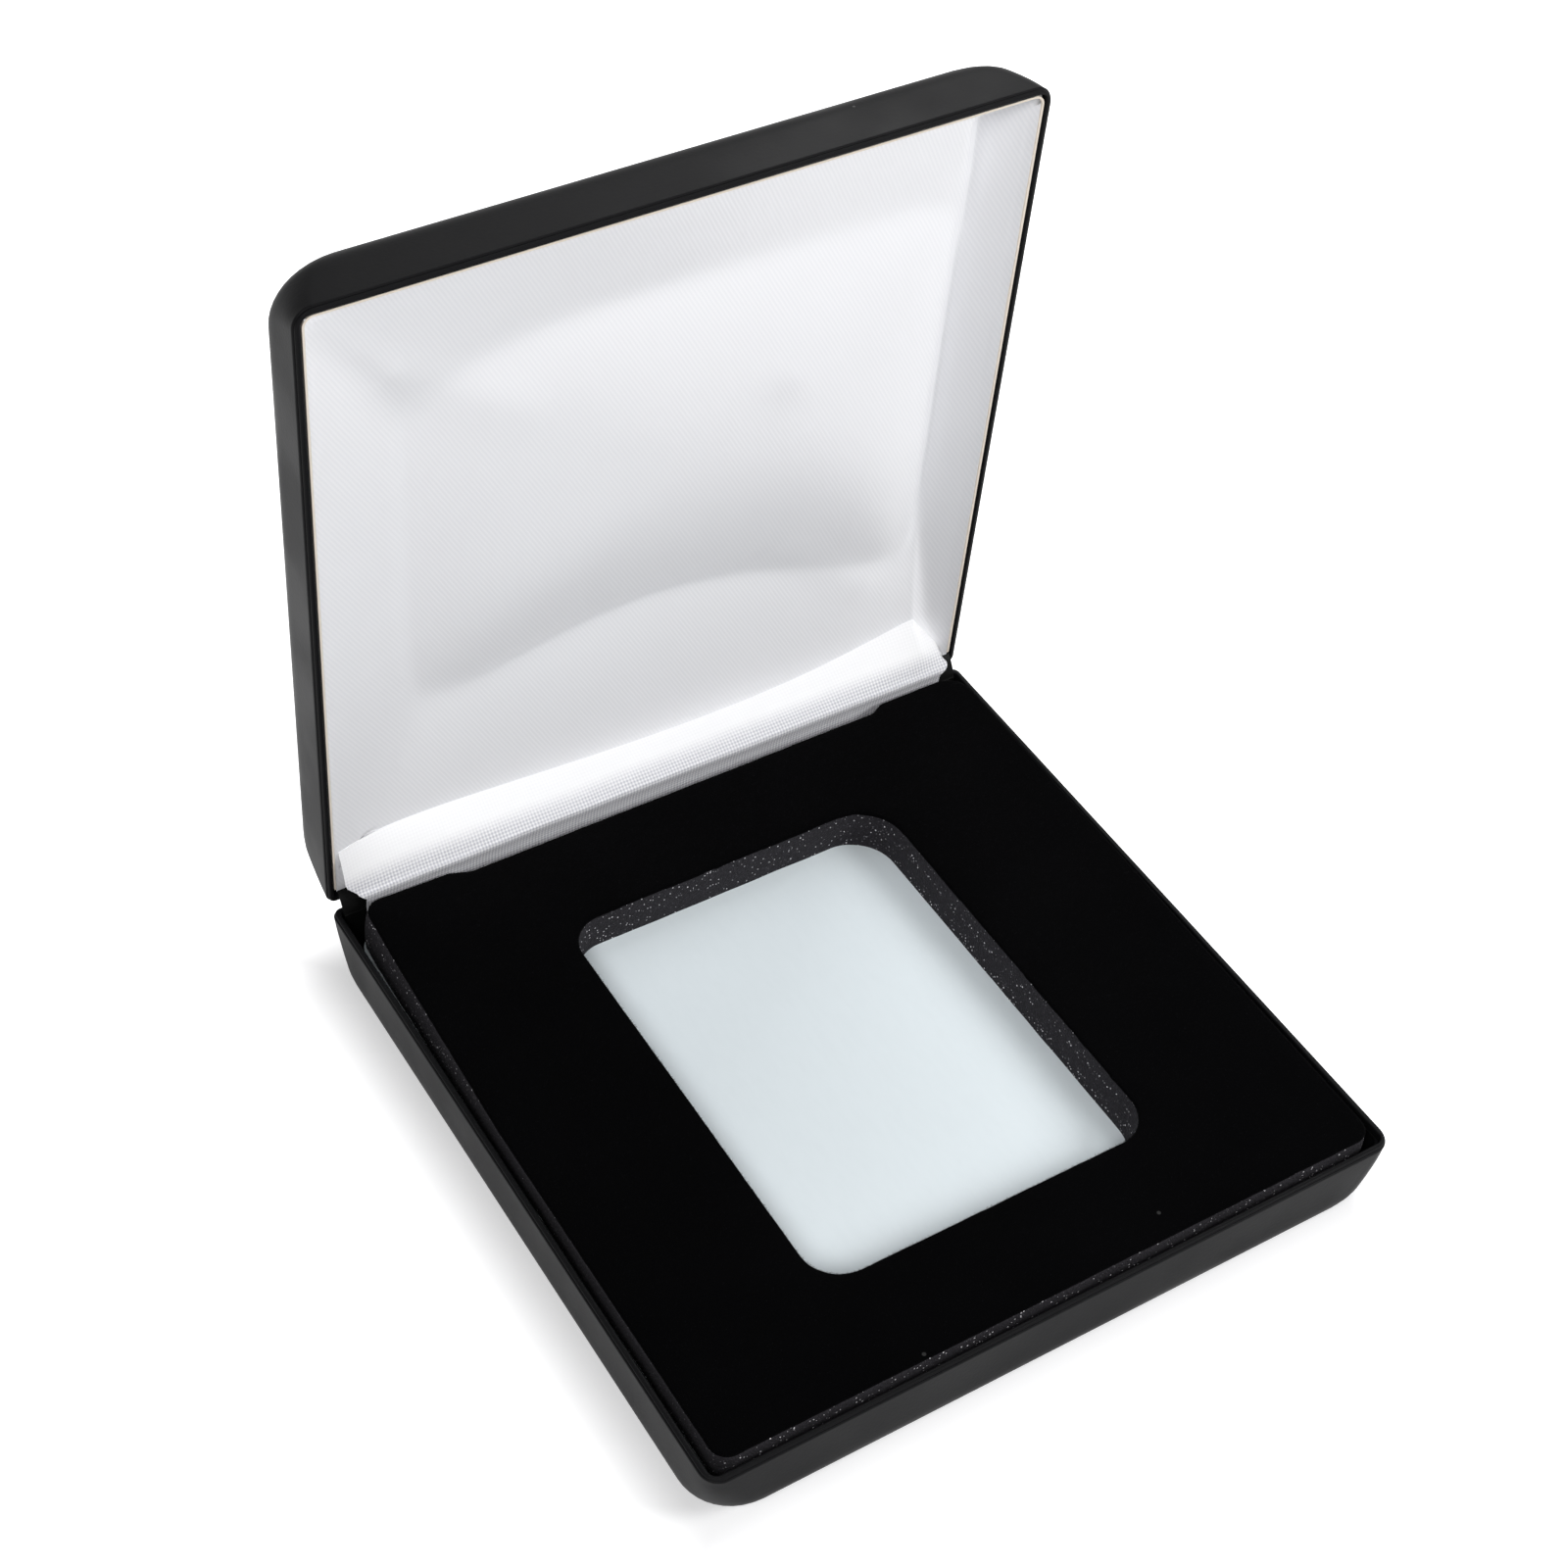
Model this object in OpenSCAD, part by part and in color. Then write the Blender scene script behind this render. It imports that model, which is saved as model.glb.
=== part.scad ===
// Clamshell coin display case: two pressed steel trays on a long back hinge,
// a velvet-topped foam insert with a recess for one coin holder in the base,
// and a padded satin lining in the lid. Drawn with the lid open, as it stands.

/* [Case] */
// Outside width and depth of both trays at the rim
case_w = 132; // [124:1:140]
// Height of the base tray, underside to rim
base_h = 15.6; // [15:0.1:18]
// Height of the lid tray, rim to top
lid_h = 14; // [13.6:0.1:16]
// Sheet steel thickness
wall = 0.8; // [0.6:0.1:1]
// Radius where each tray's side rolls into its flat face
edge_r = 6; // [5:0.5:7]
// Corner radius of a tray in plan at the rim
rim_corner_r = 3.5; // [3:0.5:5]
// Corner radius of a tray in plan at its flat face
foot_corner_r = 13; // [11:0.5:15]

/* [Rim frames] */
// Width of the lip that shows inside each rim
lip_w = 1.3; // [1.2:0.1:1.5]
// Height of the lip
lip_h = 1.6; // [1.4:0.1:2]
// Depth of the thin skirt that grips the tray wall
skirt_h = 7; // [6:0.5:8]
// Thickness of the skirt
skirt_t = 0.6; // [0.5:0.1:0.7]

/* [Hinge] */
// How far the lid stands open, in degrees from shut
open_angle = 86.5; // [80:0.5:95]
// Distance from the tray's back face out to the pin centre
pin_behind = 0.5; // [0.4:0.1:0.8]
// Radius of the hinge pin
pin_r = 0.7; // [0.6:0.05:0.8]
// Radius of the rolled knuckles
knuckle_r = 1.3; // [1.2:0.05:1.4]
// Length of the knuckle row
hinge_l = 123; // [110:1:123]
// Number of knuckles, shared in turn by base and lid
knuckle_n = 11; // [5:2:15]
// Thickness of the two leaves
leaf_t = 0.6; // [0.5:0.1:0.7]
// Gap between the two rims when the case is shut
rim_gap = 0.15; // [0.1:0.05:0.3]
// Number of rivets in each leaf
rivet_n = 5; // [3:1:7]
// Radius of a rivet's head
rivet_head_r = 1.6; // [1.2:0.1:1.8]
// Thickness of the snap spring strip
spring_t = 0.35; // [0.3:0.05:0.4]
// Thickness of the ribbed satin flap over the hinge
flap_t = 0.3; // [0.2:0.05:0.4]

/* [Insert] */
// Width of the coin holder's recess
recess_w = 64.6; // [60:0.1:70]
// Length of the coin holder's recess
recess_l = 85.8; // [80:0.1:90]
// Depth of the recess below the velvet
recess_depth = 7.8; // [6:0.1:8.2]
// Corner radius of the recess
recess_r = 9; // [6:0.5:12]
// Height of the velvet above the base rim
velvet_proud = 1.7; // [1:0.1:2]
// Thickness of the velvet face
velvet_t = 0.5; // [0.4:0.1:0.8]
// Thickness of the white liner card
card_t = 0.4; // [0.3:0.1:0.6]

/* [Lid lining] */
// Thickness of the satin with its backing
satin_t = 0.5; // [0.4:0.1:0.8]
// Depth of the pillow's crown below the lid rim
crown_depth = 2.55; // [2.4:0.05:3.5]
// Depth of the channel round the pillow
channel_depth = 6.2; // [5.8:0.1:6.6]
// Width of the satin's sloping border left of the pillow
border_left = 17.6; // [16:0.1:19]
// Width of the sloping border right of the pillow
border_right = 7.4; // [7:0.1:9]
// Width of the sloping border above the pillow
border_top = 18.1; // [16:0.1:20]
// Depth at which the satin folds over, just above the hinge
fold_depth = 4.9; // [4.5:0.1:5.3]
// Thickness of the board behind the pad
board_t = 1.4; // [1:0.1:1.5]
// Thickness of the card strip round the satin's edge
strip_t = 0.35; // [0.3:0.05:0.4]

/* [Hidden] */

black_metal = [0.12, 0.12, 0.12];
black_foam = [0.10, 0.10, 0.11];
black_velvet = [0.02, 0.02, 0.02];
white_card = [0.90, 0.93, 0.96];
white_satin = [0.93, 0.93, 0.94];
plain_steel = [0.35, 0.35, 0.36];

sliver = 0.01;
half = case_w / 2;
inner_half = half - wall;
lip_half = half - lip_w;

// Pin centre: y from the case's middle, z from the underside
pin_y = half + pin_behind;
pin_z = base_h;

// Notch that the hinge passes through in each back wall
notch_l = hinge_l + 0.6;
notch_deep = knuckle_r + leaf_t + 0.05;
notch_y = inner_half - skirt_t - leaf_t - 0.1;
knuckle_pitch = hinge_l / knuckle_n;
knuckle_gap = 0.3;
bore_r = pin_r + 0.04;
leaf_y = inner_half - skirt_t - leaf_t;
leaf_end = 9;
rivet_drop = 5.2;
rivet_head_t = 0.45;
rivet_shank_r = 0.8;
rivet_dome_r = 3.2;

// Levels in the base, from the underside
velvet_z = base_h + velvet_proud;
foam_z = velvet_z - velvet_t;
card_z = velvet_z - recess_depth;
support_z = card_z - card_t;

// Foam outline: it sits a little forward, clear of the hinge
foam_half_x = 63;
foam_front = -63.5;
foam_back = 62.4;
foam_corner_r = 5;
card_half_y = 63.1;
// Support foam, which narrows to the tray's rolled edge below
support_low = 58.6;
support_low_r = 11;
support_high = 63.1;
support_high_r = 7;
foam_notch_y = 61.1;
foam_notch_x = [-42.5, 45.5];
recess_x = -0.5;
recess_y = -1.8;

// Front face of the snap spring where it crosses the hinge: [y, z above the rim]
spring_path = [[63.65, -8.2], [63.65, -1.2], [63.85, -0.4], [64.2, 0.5], [64.6, 1.4],
               [65.1, 2.3], [65.7, 3.1], [66.3, 3.7]];
spring_l = 124.6;
spring_front = leaf_y - spring_t;
// The flap starts above the rivets, rolls over and runs back to the lid's lining
flap_path = [[63.5, -3.3], [63.5, -1.2], [63.5, 0.3], [63.35, 1.6], [63.1, 2.7],
             [63.1, 3.5], [63.6, 4.2], [64.6, 4.8], [65.8, 5.3], [66.7, 5.7]];
flap_l = 120.5;
flap_x = 0.6;

// The tray's cut edge lies this far below the lip's crown, with a fine seam between
seat = 0.45;
seam = 0.03;
cap_back = 0.3;
// Outer and inner corner radius of the lip, and where the straight skirts end
lip_r = rim_corner_r - 0.5;
lip_inner_r = 2.4;
skirt_half_l = half - 8;
tab_l = 5.6;
tab_t = 0.45;
tab_h = 1.4;

// Outline of the satin: the hinge side stops short of the rivets
pad_half = lip_half - 0.6;
pad_back = 63.9;
pad_lip_depth = 0.5;
satin_pull = 0.008;
wadding_half = 62.9;
wadding_back = 62.7;
wadding_pull = 0.045;
wadding_gap = 0.5;
board_half = 59.5;
board_r = 12.2;
// Card strip round the satin's edge
card_half = pad_half + 0.05;
card_r = 2;
card_deep = 5;
card_rise = 0.2;
// Grid steps from the satin's edge to its middle, packed closer at the edge
pad_steps = 12;
pad_step_power = 1.9;
// The borders meet the pillow in a soft valley
valley_soft = 0.35;
crown_power = 2.2;
square_power = 4;
// Crown of the pillow, and how far its channel lies to the left, right and front of it
crown_x = 4;
crown_y = -9;
pillow_left = 50.5;
pillow_right = 50.5;
pillow_front = 37;
// The right flank stays full and drops late
right_power = 3;
// Behind the crown the channel lifts in an arc, nearest to the crown in the middle
arc_near = 36;
arc_rise = 0.0078;
// Above the hinge the satin runs back to a fold, whose distance from the edge and whose
// depth change along the hinge; behind the fold it falls away slowly
fold_x = 12;
fold_near = 4.3;
fold_more_left = 5.5;
fold_more_right = 6;
fold_fall = 0.045;
// The foam's edge keeps the satin pressed at least this deep, just inside its own edge
press_depth = 2.3;
press_slope = 3.6;

// Sideways step in of a tray's wall at distance d from its rim, for a tray h high
function wall_step(d, h, r) = d <= h - r ? 0 : r - sqrt(max(0, r * r - pow(d - h + r, 2)));

// Plan corner radius of a tray at distance d from its rim
function plan_r(d, h) = rim_corner_r + (foot_corner_r - rim_corner_r) * pow(d / h, 1.5);

// Distances from the rim at which a tray's section is taken
function stations(h, r) = concat([0, (h - r) / 2], [for (a = [0:15:90]) h - r + r * sin(a)]);

// A closed tray block with its rim at z = 0 and its flat face at z = h
module tray_block(w, h, r, corner_less, over) {
    hull() {
        for (d = stations(h, r)) {
            step_in = wall_step(d, h, r);
            c = plan_r(d, h) - corner_less;
            for (sx = [-1, 1], sy = [-1, 1]) {
                at = w - step_in - c;
                translate([sx * at, sy * at, min(d, h - sliver)]) cylinder(r = c, h = sliver, $fn = 40);
            }
        }
        for (sx = [-1, 1], sy = [-1, 1]) {
            c = rim_corner_r - corner_less;
            translate([sx * (w - c), sy * (w - c), -over]) cylinder(r = c, h = sliver, $fn = 40);
        }
    }
}

// An open tray under a rim at z = 0, its flat face at z = h and the hinge notch cut.
// Its cut edge stops at z = seat, under the lip.
module tray(h) {
    difference() {
        tray_block(half, h, edge_r, 0, 0);
        tray_block(inner_half, h - wall, edge_r - wall, wall, 1);
        translate([-half - 1, -half - 1, -1]) cube([case_w + 2, case_w + 2, 1 + seat]);
        translate([-notch_l / 2, notch_y, -1]) cube([notch_l, half - notch_y + 1, notch_deep + 1]);
    }
}

// Rounded rectangle drawn from squares and circles
module rounded_plan(hx, hy, r) {
    square([2 * hx, 2 * (hy - r)], center = true);
    square([2 * (hx - r), 2 * hy], center = true);
    for (sx = [-1, 1], sy = [-1, 1]) translate([sx * (hx - r), sy * (hy - r)]) circle(r = r, $fn = 48);
}

module rounded_slab(hx, hy, r, z0, z1) {
    translate([0, 0, z0]) linear_extrude(z1 - z0) rounded_plan(hx, hy, r);
}

// Rim frame with its lip at z = 0, capping the tray's cut edge, and four straight skirts
// reaching up to z = skirt_h
module rim_frame() {
    difference() {
        union() {
            rounded_slab(half - cap_back, half - cap_back, rim_corner_r - cap_back, 0, seat - seam);
            rounded_slab(inner_half, inner_half, lip_r, 0, lip_h);
            for (turn = [0:90:270]) {
                rotate(turn) translate([-skirt_half_l, inner_half - skirt_t, lip_h])
                    cube([2 * skirt_half_l, skirt_t, skirt_h - lip_h]);
            }
            // tabs that join the hinge side's skirt to the ends of the lip
            for (sx = [-1, 1]) {
                translate([sx * (skirt_half_l + tab_l / 2 - 1), inner_half - skirt_t + tab_t / 2, lip_h + tab_h / 2])
                    cube([tab_l, tab_t, tab_h], center = true);
            }
        }
        rounded_slab(lip_half, lip_half, lip_inner_r, -1, lip_h + 1);
        translate([-notch_l / 2, notch_y, -1]) cube([notch_l, half - notch_y, notch_deep + 1]);
    }
}

// The base pieces hang from the rim, so their z runs down from it
module from_rim_down() {
    translate([0, 0, base_h]) mirror([0, 0, 1]) children();
}

// The lid pieces are drawn shut, with z up from the base rim, and swung open here
module lid_open() {
    translate([0, pin_y, pin_z]) rotate([-open_angle, 0, 0]) translate([0, -pin_y, 0]) children();
}

module lid_shut() {
    translate([0, 0, rim_gap]) children();
}

// One leaf with its knuckles: z = 0 at the pin, the plate running to z = leaf_end.
// first is 0 for the base's knuckles and 1 for the lid's.
module hinge_leaf(first) {
    difference() {
        union() {
            translate([-hinge_l / 2, leaf_y, knuckle_r]) cube([hinge_l, leaf_t, leaf_end - knuckle_r]);
            for (i = [first:2:knuckle_n - 1]) {
                x0 = -hinge_l / 2 + i * knuckle_pitch + knuckle_gap / 2;
                kl = knuckle_pitch - knuckle_gap;
                translate([x0, leaf_y, knuckle_r]) cube([kl, pin_y - leaf_y, leaf_t]);
                translate([x0, pin_y - knuckle_r / 2, 0]) cube([kl, knuckle_r, knuckle_r + leaf_t]);
                translate([x0, pin_y, 0]) rotate([0, 90, 0]) cylinder(r = knuckle_r, h = kl, $fn = 48);
            }
        }
        translate([-hinge_l, pin_y, 0]) rotate([0, 90, 0]) cylinder(r = bore_r, h = 2 * hinge_l, $fn = 48);
        for (x = rivet_places()) {
            translate([x, leaf_y - 1, rivet_drop]) rotate([-90, 0, 0]) cylinder(r = rivet_shank_r, h = 3, $fn = 32);
        }
    }
}

function rivet_places() = [for (i = [0:rivet_n - 1]) (i - (rivet_n - 1) / 2) * hinge_l / (rivet_n + 0.4)];

// Domed rivets through a leaf; gap is the thickness of what lies between head and leaf
module rivets(gap) {
    for (x = rivet_places()) {
        translate([x, leaf_y - gap, rivet_drop]) rotate([90, 0, 0]) {
            intersection() {
                cylinder(r = rivet_head_r, h = rivet_head_t, $fn = 32);
                translate([0, 0, rivet_head_t - rivet_dome_r]) sphere(r = rivet_dome_r, $fn = 48);
            }
            translate([0, 0, -leaf_t - gap]) cylinder(r = rivet_shank_r, h = leaf_t + gap, $fn = 32);
        }
    }
}

function length_of(v) = sqrt(v[0] * v[0] + v[1] * v[1]);

// Left-hand normal of a path at point i, from its two neighbours
function path_normal(p, i) =
    let (a = p[max(i - 1, 0)], b = p[min(i + 1, len(p) - 1)], d = b - a)
    [-d[1], d[0]] / length_of(d);

// A strip between two offsets of a [y, z] path, z from the rim. Offsets are towards the front.
module strip(path, near, far, l, x) {
    front = [for (i = [0:len(path) - 1]) path[i] + far * path_normal(path, i)];
    back = [for (i = [len(path) - 1:-1:0]) path[i] + near * path_normal(path, i)];
    translate([x - l / 2, 0, base_h]) rotate([90, 0, 90]) linear_extrude(l) polygon(concat(front, back));
}

// Foam outline in plan, with the shallow notch that clears the hinge strip
module foam_plan() {
    mid_y = (foam_front + foam_back) / 2;
    difference() {
        translate([0, mid_y]) rounded_plan(foam_half_x, (foam_back - foam_front) / 2, foam_corner_r);
        translate([foam_notch_x[0], foam_notch_y]) square([foam_notch_x[1] - foam_notch_x[0], 5]);
        translate([recess_x, recess_y]) rounded_plan(recess_w / 2, recess_l / 2, recess_r);
    }
}

// Steps from -1 to 1 across the pad, closer together near its edges
function pad_step(k) = 1 - pow(k / pad_steps, pad_step_power);
function pad_line() = concat([for (k = [0:pad_steps]) -pad_step(k)],
                             [for (k = [pad_steps - 1:-1:0]) pad_step(k)]);

// Depth of a straight border that starts at the edge and is w wide
function border_depth(d, w) = pad_lip_depth + (channel_depth - pad_lip_depth) * d / w;

// Depth of the pillow, rounded square in plan
function pillow_depth(x, y) =
    let (u = x < crown_x ? (crown_x - x) / pillow_left : pow((x - crown_x) / pillow_right, right_power),
         v = y < crown_y ? (crown_y - y) / pillow_front : (y - crown_y) / (arc_near + arc_rise * x * x),
         q = pow(pow(u, square_power) + pow(v, square_power), 1 / square_power))
    crown_depth + (channel_depth - crown_depth) * pow(q, crown_power);

// Distance of the fold from the satin's hinge edge, and its depth
function fold_run(x) = fold_near + (x < fold_x ? fold_more_left * pow((fold_x - x) / 70, 1.6)
                                               : fold_more_right * pow((x - fold_x) / 46, 2.5));
function fold_level(x) = fold_depth - (x < 0 ? 3.6 * pow(-x / 62, 6) : 3 * pow(x / 63, 14));

// Smallest of several depths, eased together where they cross
function soft_least(list) = -valley_soft * ln(sum_exp(list, 0));
function sum_exp(list, i) = i == len(list) ? 0 : exp(-list[i] / valley_soft) + sum_exp(list, i + 1);

// Least depth of the satin's face at distance e from its nearest edge
function press_least(e) = min(press_depth, pad_lip_depth + press_slope * max(e, 0));

// Depth of the satin's face below the lid rim at a point of the shut lid
function pad_depth(x, y) =
    let (t = pad_back - y, run = fold_run(x), level = fold_level(x))
    max(press_least(min(pad_half - abs(x), pad_half + y, t)), soft_least([
        border_depth(pad_half + x, border_left),
        border_depth(pad_half - x, border_right),
        border_depth(pad_half + y, border_top),
        pad_lip_depth + (level - pad_lip_depth) * t / run,
        level + fold_fall * (t - run),
        pillow_depth(x, y)]));

// Draws the corners in, so that the plan follows the tray's rounded corners
function drawn_in(a, b, pull) = a * (1 - pull * pow(abs(b), 10));

// Closed solid whose face follows the pad, low behind it. Its back is flat at top, or,
// where top is 0, an even satin_t behind its face.
module pad_solid(w, back, pull, low, top) {
    line = pad_line();
    n = len(line);
    mid = (back - w) / 2;
    face = [for (u = line, v = line)
        let (x = w * drawn_in(u, v, pull), y = mid + (back - mid) * drawn_in(v, u, pull))
        [x, y, pad_depth(x, y) + low]];
    cap = [for (p = face) [p[0], p[1], top > 0 ? top : p[2] + satin_t]];
    m = n * n;
    cells = [for (i = [0:n - 2], j = [0:n - 2]) i * n + j];
    // edges of the four sides, each as a pair of face points in order
    sides = concat(
        [for (i = [0:n - 2]) [i * n, (i + 1) * n]],
        [for (j = [0:n - 2]) [(n - 1) * n + j, (n - 1) * n + j + 1]],
        [for (i = [n - 1:-1:1]) [i * n + n - 1, (i - 1) * n + n - 1]],
        [for (j = [n - 1:-1:1]) [j, j - 1]]);
    polyhedron(
        points = concat(face, cap),
        faces = concat(
            [for (c = cells) [c, c + n, c + n + 1]],
            [for (c = cells) [c, c + n + 1, c + 1]],
            [for (c = cells) [m + c, m + c + n + 1, m + c + n]],
            [for (c = cells) [m + c, m + c + 1, m + c + n + 1]],
            [for (e = sides) [e[0], m + e[0], m + e[1]]],
            [for (e = sides) [e[0], m + e[1], e[1]]]));
}

module base_shell() {
    color(black_metal) from_rim_down() tray(base_h);
}

module base_rim_frame() {
    color(black_metal) from_rim_down() rim_frame();
}

// Lower foam block that fills the tray up to the liner card
module support_foam() {
    color(black_foam) hull() {
        rounded_slab(support_low, support_low, support_low_r, wall, wall + 0.5);
        rounded_slab(support_high, support_high, support_high_r, base_h - skirt_h, support_z);
    }
}

module liner_card() {
    color(white_card) rounded_slab(foam_half_x, card_half_y, foam_corner_r, support_z, card_z);
}

module foam_insert() {
    color(black_foam) translate([0, 0, card_z]) linear_extrude(foam_z - card_z) foam_plan();
}

module velvet_face() {
    color(black_velvet) translate([0, 0, foam_z]) linear_extrude(velvet_t) foam_plan();
}

module base_hinge_leaf() {
    color(black_metal) from_rim_down() hinge_leaf(0);
}

module hinge_pin() {
    color(plain_steel) translate([-hinge_l / 2, pin_y, pin_z]) rotate([0, 90, 0])
        cylinder(r = pin_r, h = hinge_l, $fn = 48);
}

module base_rivets() {
    color(plain_steel) from_rim_down() rivets(spring_t);
}

module snap_spring() {
    color(black_metal) difference() {
        strip(spring_path, -spring_t, 0, spring_l, 0);
        for (x = rivet_places()) {
            translate([x, spring_front - 1, base_h - rivet_drop]) rotate([-90, 0, 0])
                cylinder(r = rivet_shank_r + 0.05, h = 3, $fn = 32);
        }
    }
}

module hinge_flap() {
    color(white_satin) strip(flap_path, 0, flap_t, flap_l, flap_x);
}

module lid_shell() {
    color(black_metal) lid_open() lid_shut() tray(lid_h);
}

module lid_rim_frame() {
    color(black_metal) lid_open() lid_shut() rim_frame();
}

module lid_hinge_leaf() {
    color(black_metal) lid_open() hinge_leaf(1);
}

module lid_rivets() {
    color(plain_steel) lid_open() rivets(0);
}

// Stiff board that the pad is made up on, glued into the lid
module pad_board() {
    top = lid_h - wall;
    color(white_card) lid_open() lid_shut() rounded_slab(board_half, board_half, board_r, top - board_t, top);
}

// Card strip that the satin is turned over, on the three sides away from the hinge
module lining_card() {
    color(white_card) lid_open() lid_shut() difference() {
        rounded_slab(card_half + strip_t, card_half + strip_t, card_r, pad_lip_depth - card_rise, card_deep);
        rounded_slab(card_half, card_half, card_r - strip_t, 0, card_deep + 1);
        translate([-half, pad_back - 1, 0]) cube([case_w, 5, card_deep + 1]);
    }
}

module pad_wadding() {
    top = lid_h - wall - board_t;
    color(white_satin) lid_open() lid_shut() pad_solid(wadding_half, wadding_back, wadding_pull, satin_t + wadding_gap, top);
}

module satin_lining() {
    color(white_satin) lid_open() lid_shut() pad_solid(pad_half, pad_back, satin_pull, 0, 0);
}

base_shell();
base_rim_frame();
support_foam();
liner_card();
foam_insert();
velvet_face();
base_hinge_leaf();
hinge_pin();
base_rivets();
snap_spring();
hinge_flap();
lid_shell();
lid_rim_frame();
lid_hinge_leaf();
lid_rivets();
lining_card();
pad_board();
pad_wadding();
satin_lining();
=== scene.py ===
import math

import bmesh
import bpy
import numpy as np
from mathutils import Matrix, Vector, noise
from mathutils.geometry import delaunay_2d_cdt


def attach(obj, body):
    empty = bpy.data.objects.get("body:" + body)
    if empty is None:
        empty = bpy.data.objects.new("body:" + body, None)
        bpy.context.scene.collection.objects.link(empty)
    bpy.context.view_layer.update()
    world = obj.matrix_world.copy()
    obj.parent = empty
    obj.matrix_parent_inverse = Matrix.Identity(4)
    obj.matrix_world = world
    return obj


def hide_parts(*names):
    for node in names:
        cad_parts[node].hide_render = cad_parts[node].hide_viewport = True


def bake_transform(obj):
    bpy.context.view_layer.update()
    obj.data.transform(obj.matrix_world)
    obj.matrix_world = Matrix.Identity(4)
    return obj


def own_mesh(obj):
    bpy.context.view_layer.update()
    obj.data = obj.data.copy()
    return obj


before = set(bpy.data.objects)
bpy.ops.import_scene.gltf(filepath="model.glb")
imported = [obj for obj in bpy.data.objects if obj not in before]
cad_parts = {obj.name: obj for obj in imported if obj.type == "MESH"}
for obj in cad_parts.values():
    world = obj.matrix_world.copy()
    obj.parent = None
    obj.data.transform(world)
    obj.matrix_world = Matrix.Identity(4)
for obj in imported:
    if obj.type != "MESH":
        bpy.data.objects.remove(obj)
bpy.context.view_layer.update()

# Sizes, in millimetres
HALF = 66.0            # half the case's width at the rim
BASE_H = 15.6
LID_H = 14.0
WALL = 0.8
EDGE_R = 6.0           # side to flat face
RIM_R = 3.5            # plan corner at the rim
BACK_LESS = 1.6        # by so much the hinge corners are tighter there
FOOT_R = 13.0          # plan corner at the flat face
LIP_HALF = 64.7        # inside of the lip
LIP_CORNER_R = 1.3
SKIRT_DEEP = 7.0       # the lip's skirt reaches this far below the rim
SEAT = 0.45            # the tray's cut edge lies this far below the lip's crown
PIN_Y, PIN_Z = 66.5, BASE_H
OPEN = math.radians(86.5)
RIM_GAP = 0.15
NOTCH_HALF = 61.8      # the hinge passes through the back wall
NOTCH_Y = 63.9
NOTCH_DEEP = 1.95
VELVET_Z = 17.3
CARD_Z = 9.5
FOAM_FOOT = CARD_Z + 0.02
VELVET_THICK = 0.4
CORNER_STEPS, SIDE_STEPS = 10, 24
OUTLINE_STEP = 1.0     # spacing of the points along an outline


# Placing points
def metres(points):
    return np.asarray(points, float) * 0.001


def on_base(points):
    """Points with z measured down from the base rim."""
    p = np.array(points, float)
    p[:, 2] = BASE_H - p[:, 2]
    return p


def on_lid(points):
    """Points of the shut lid, z up from its rim, swung to where the lid stands."""
    p = np.array(points, float)
    y, z = p[:, 1] - PIN_Y, p[:, 2] + RIM_GAP
    c, s = math.cos(OPEN), math.sin(OPEN)
    return np.column_stack([p[:, 0], PIN_Y + y * c + z * s, PIN_Z - y * s + z * c])


def mesh_piece(name, points, faces, smooth_angle=0):
    """Smooth mesh object from millimetre points; edges over smooth_angle degrees stay sharp."""
    mesh = bpy.data.meshes.new(name)
    corners = [tuple(int(i) for i in f) for f in faces]
    mesh.from_pydata([tuple(v) for v in metres(points)], [], corners)
    mesh.validate()
    obj = bpy.data.objects.new(name, mesh)
    bpy.context.scene.collection.objects.link(obj)
    mesh.shade_smooth()
    if smooth_angle:
        mesh.set_sharp_from_angle(angle=math.radians(smooth_angle))
    return obj


def face_outward(obj):
    bm = bmesh.new()
    bm.from_mesh(obj.data)
    bmesh.ops.recalc_face_normals(bm, faces=bm.faces)
    bm.to_mesh(obj.data)
    bm.free()


# Rings and lofts
def ring_plan(hx, hy, front_r, back_r=None):
    """Rounded rectangle, counter-clockwise, with the same point count for every size."""
    out = []
    corner_r = [back_r or front_r] * 2 + [front_r] * 2
    for k, (sx, sy) in enumerate([(1, 1), (-1, 1), (-1, -1), (1, -1)]):
        start = k * math.pi / 2
        r, after = corner_r[k], corner_r[(k + 1) % 4]
        cx, cy = sx * (hx - r), sy * (hy - r)
        for i in range(CORNER_STEPS + 1):
            a = start + math.pi / 2 * i / CORNER_STEPS
            out.append((cx + r * math.cos(a), cy + r * math.sin(a)))
        end = out[-1]
        nx, ny = [(-1, 1), (-1, -1), (1, -1), (1, 1)][k]
        a = start + math.pi / 2
        nxt = (nx * (hx - after) + after * math.cos(a), ny * (hy - after) + after * math.sin(a))
        for i in range(1, SIDE_STEPS):
            t = i / SIDE_STEPS
            out.append((end[0] + (nxt[0] - end[0]) * t, end[1] + (nxt[1] - end[1]) * t))
    return np.array(out)


def level_ring(plan, z):
    return np.column_stack([plan, np.full(len(plan), z)])


def loft(rings, closed=False, capped=False):
    """Points and faces through rings of equal count; closed joins the last ring to the first."""
    n = len(rings[0])
    points = np.vstack(rings)
    faces = []
    spans = len(rings) if closed else len(rings) - 1
    for k in range(spans):
        a, b = k * n, ((k + 1) % len(rings)) * n
        for i in range(n):
            j = (i + 1) % n
            faces.append((a + i, a + j, b + j, b + i))
    if capped:
        faces.append(tuple(range(n))[::-1])
        faces.append(tuple((len(rings) - 1) * n + i for i in range(n)))
    return points, faces


def plan_r(d, h):
    """Plan corner radius of a tray of height h, at distance d from its rim."""
    return RIM_R + (FOOT_R - RIM_R) * (d / h) ** 1.5


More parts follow.
